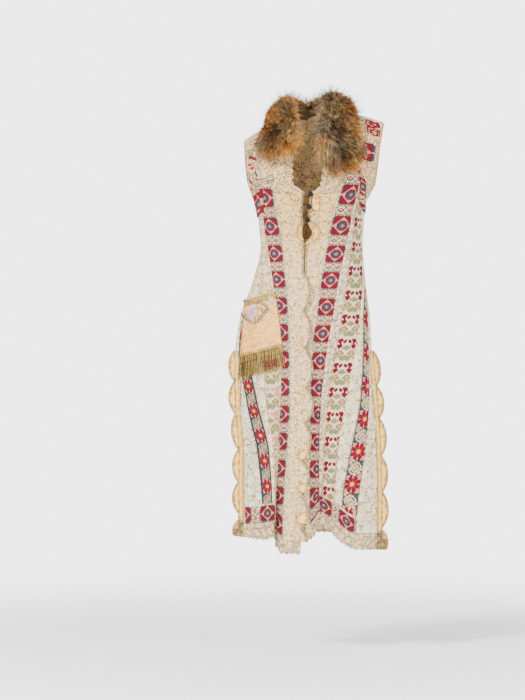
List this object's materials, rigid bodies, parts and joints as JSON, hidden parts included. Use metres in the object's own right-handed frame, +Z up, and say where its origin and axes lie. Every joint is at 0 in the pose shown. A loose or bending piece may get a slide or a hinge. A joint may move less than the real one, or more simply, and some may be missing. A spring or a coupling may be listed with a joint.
{
  "type": "embroidered folk vest",
  "caption": "Long sleeveless open-front vest of ribbons, lace and embroidery with a fur collar, side slits, a fringed hip pocket and ball buttons, hollow as worn.",
  "frame": {"origin": "middle of the wearer's shoulders, at the height where the vest hangs from them", "axes": "+Z up the body, -Y to the wearer's front, +X to the wearer's left"},
  "size_m": [0.4707, 0.3246, 1.3537],
  "materials": {
    "ivory_cloth": "quilted cotton with embroidery",
    "lace": "crochet lace",
    "crimson_ribbon": "woven ribbon",
    "slate_ribbon": "woven ribbon",
    "motif_strip": "embroidered cloth",
    "yellow_cloth": "printed cotton",
    "satin": "satin brocade",
    "gold_trim": "metallic braid and fringe",
    "fur": "long-haired fur",
    "button": "smooth",
    "applique": "crochet flower"
  },
  "bodies": {
    "root": {"front_panel_left": "ivory_cloth", "front_panel_right": "ivory_cloth", "back_panel": "ivory_cloth", "chest_lace_left": "lace", "chest_lace_right": "lace", "front_border_left": "ivory_cloth", "front_border_right": "ivory_cloth", "crimson_band_left": "crimson_ribbon", "crimson_band_right": "crimson_ribbon", "motif_strip_left": "motif_strip", "motif_strip_right": "motif_strip", "slate_band_left": "slate_ribbon", "slate_band_right": "slate_ribbon", "hem_band_left": "crimson_ribbon", "hem_band_right": "crimson_ribbon", "hem_band_back": "crimson_ribbon", "hem_lace_left": "lace", "hem_lace_right": "lace", "hem_lace_back": "lace", "slit_border_front_left": "yellow_cloth", "slit_border_front_right": "yellow_cloth", "slit_border_back_left": "yellow_cloth", "slit_border_back_right": "yellow_cloth", "armhole_cord_left": "gold_trim", "armhole_cord_right": "gold_trim", "pocket": "satin", "pocket_trim": "gold_trim", "pocket_flower": "applique", "pocket_bud": "applique", "pocket_fringe": "gold_trim", "button_1": "button", "button_2": "button", "button_3": "button", "button_cord_1": "lace", "button_cord_2": "lace", "button_cord_3": "lace", "fur_collar_left": "fur", "fur_collar_right": "fur"}
  },
  "joints": []
}
